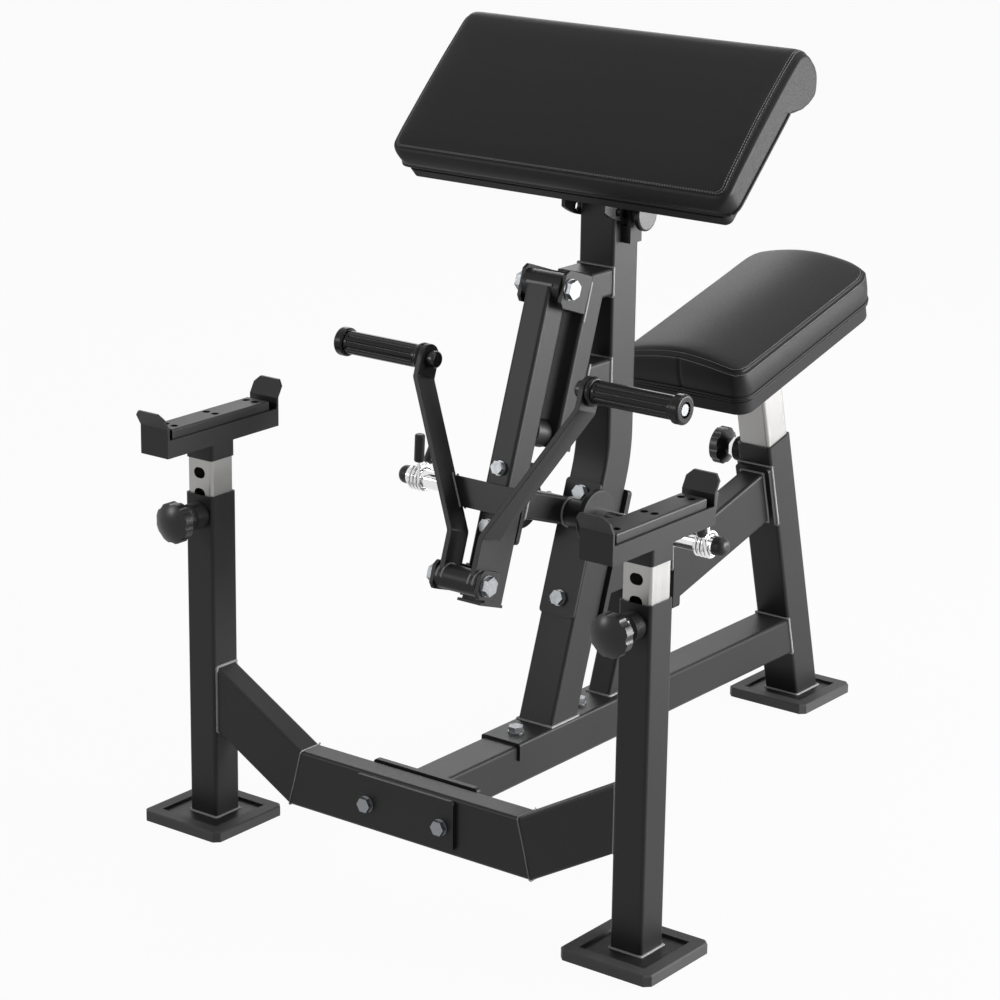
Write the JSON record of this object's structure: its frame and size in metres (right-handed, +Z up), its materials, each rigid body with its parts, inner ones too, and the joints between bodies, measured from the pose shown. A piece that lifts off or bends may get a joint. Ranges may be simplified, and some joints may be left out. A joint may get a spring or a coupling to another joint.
{
  "type": "preacher curl bench",
  "caption": "Preacher curl bench with a sloped arm pad, raked seat, height-set bar rests and a swinging plate-loaded curl arm with splayed hand grips",
  "frame": {"origin": "on the floor, under the middle of the bench's overall length and width", "axes": "+Z up; +Y from the bar rests at the front to the seat at the rear; +X to the right seen from the front"},
  "size_m": [0.879, 1.1522, 1.1164],
  "materials": {
    "black_powder_coat": "fine orange-peel textured powder coat, low gloss",
    "brushed_tube": "brushed along the tube",
    "chrome": "polished chrome plate",
    "zinc_bolt": "bright zinc plate",
    "black_rubber": "matt moulded rubber",
    "black_vinyl": "satin moulded plastic",
    "black_gloss_plastic": "glossy moulded plastic",
    "black_leatherette": "fine-grained leatherette with sewn seams",
    "black_board": "plywood board with black cover"
  },
  "bodies": {
    "frame": {"rubber_feet": "black_rubber", "front_posts": "black_powder_coat", "front_beam": "black_powder_coat", "front_clamp_plate": "black_powder_coat", "main_beam": "black_powder_coat", "rear_post": "black_powder_coat", "mast": "black_powder_coat", "mast_saddle": "black_powder_coat", "mast_brace": "black_powder_coat", "mast_front_plate": "black_powder_coat", "link_bracket": "black_powder_coat", "link_beam": "black_powder_coat", "frame_bolts": "zinc_bolt", "stop_rail": "black_powder_coat", "rail_stubs": "black_powder_coat", "rail_clevis": "black_powder_coat", "arm_bumper": "black_rubber", "arm_pivot_bolt": "zinc_bolt", "pin_collars": "black_powder_coat", "pin_nuts": "chrome", "mast_head": "black_powder_coat", "pad_hinge_bolt": "zinc_bolt", "pad_pin_carrier": "black_powder_coat"},
    "curl_arm": {"arm_sleeve": "black_powder_coat", "arm_tube": "black_powder_coat", "arm_bracket": "black_powder_coat", "arm_bolts": "zinc_bolt", "weight_axle": "black_powder_coat", "weight_sleeves": "chrome", "sleeve_caps": "black_rubber", "arm_clevis": "black_powder_coat", "yoke_pivot_bolt": "zinc_bolt"},
    "handle_yoke": {"yoke_sleeve": "black_powder_coat", "yoke_levers": "black_powder_coat", "yoke_crossbar": "black_powder_coat", "yoke_rest_pad": "black_rubber", "grip_bolts": "zinc_bolt", "grip_cap_nuts": "black_gloss_plastic"},
    "grip_right": {"hand_grip_right": "black_rubber"},
    "grip_left": {"hand_grip_left": "black_rubber"},
    "collar_right": {"spring_collar_right": "chrome", "collar_grips_right": "black_vinyl"},
    "collar_left": {"spring_collar_left": "chrome", "collar_grips_left": "black_vinyl"},
    "bar_rest_right": {"rest_tube_right": "brushed_tube", "rest_tray_right": "black_powder_coat", "rest_block_right": "black_vinyl"},
    "bar_rest_left": {"rest_tube_left": "brushed_tube", "rest_tray_left": "black_powder_coat", "rest_block_left": "black_vinyl"},
    "rest_pin_right": {"rest_pin_right": "black_gloss_plastic"},
    "rest_pin_left": {"rest_pin_left": "black_gloss_plastic"},
    "seat": {"seat_tube": "brushed_tube", "seat_board": "black_board", "seat_cushion": "black_leatherette"},
    "seat_pin": {"seat_pin": "black_gloss_plastic"},
    "arm_pad": {"pad_cushion": "black_leatherette", "pad_board": "black_board", "pad_bracket": "black_powder_coat"},
    "pad_pin": {"pad_pin": "black_gloss_plastic"}
  },
  "joints": [
    {"name": "arm_swing", "type": "hinge", "parent": "frame", "child": "curl_arm", "pos_m": [0, -0.1701, 0.785], "axis": [-1, 0, 0], "range_deg": [0, 110]},
    {"name": "yoke_swing", "type": "hinge", "parent": "curl_arm", "child": "handle_yoke", "pos_m": [0, -0.35394, 0.4089], "axis": [1, 0, 0], "range_deg": [0, 130]},
    {"name": "grip_right_turn", "type": "hinge", "parent": "handle_yoke", "child": "grip_right", "pos_m": [0.22, -0.25971, 0.6779], "axis": [1, 0, 0], "continuous": true},
    {"name": "grip_left_turn", "type": "hinge", "parent": "handle_yoke", "child": "grip_left", "pos_m": [-0.22, -0.25971, 0.6779], "axis": [1, 0, 0], "continuous": true},
    {"name": "collar_right_pull", "type": "slide", "parent": "curl_arm", "child": "collar_right", "axis": [1, 0, 0], "range_m": [0, 0.12]},
    {"name": "collar_left_pull", "type": "slide", "parent": "curl_arm", "child": "collar_left", "axis": [-1, 0, 0], "range_m": [0, 0.12]},
    {"name": "bar_rest_right_lift", "type": "slide", "parent": "frame", "child": "bar_rest_right", "axis": [0, 0, 1], "range_m": [-0.03, 0.12]},
    {"name": "bar_rest_left_lift", "type": "slide", "parent": "frame", "child": "bar_rest_left", "axis": [0, 0, 1], "range_m": [-0.03, 0.12]},
    {"name": "rest_pin_right_pull", "type": "slide", "parent": "frame", "child": "rest_pin_right", "axis": [0, -1, 0], "range_m": [0, 0.01], "stiffness_N_per_m": 900, "springref_m": -0.01},
    {"name": "rest_pin_left_pull", "type": "slide", "parent": "frame", "child": "rest_pin_left", "axis": [0, -1, 0], "range_m": [0, 0.01], "stiffness_N_per_m": 900, "springref_m": -0.01},
    {"name": "seat_lift", "type": "slide", "parent": "frame", "child": "seat", "axis": [0, -0.2504, 0.9681], "range_m": [-0.12, 0.06]},
    {"name": "seat_pin_pull", "type": "slide", "parent": "frame", "child": "seat_pin", "axis": [-1, 0, 0], "range_m": [0, 0.01], "stiffness_N_per_m": 900, "springref_m": -0.01},
    {"name": "pad_tilt", "type": "hinge", "parent": "frame", "child": "arm_pad", "pos_m": [0, -0.0261, 0.975], "axis": [1, 0, 0], "range_deg": [-18.8, 18.8]},
    {"name": "pad_pin_pull", "type": "slide", "parent": "frame", "child": "pad_pin", "axis": [1, 0, 0], "range_m": [0, 0.01], "stiffness_N_per_m": 900, "springref_m": -0.01}
  ]
}
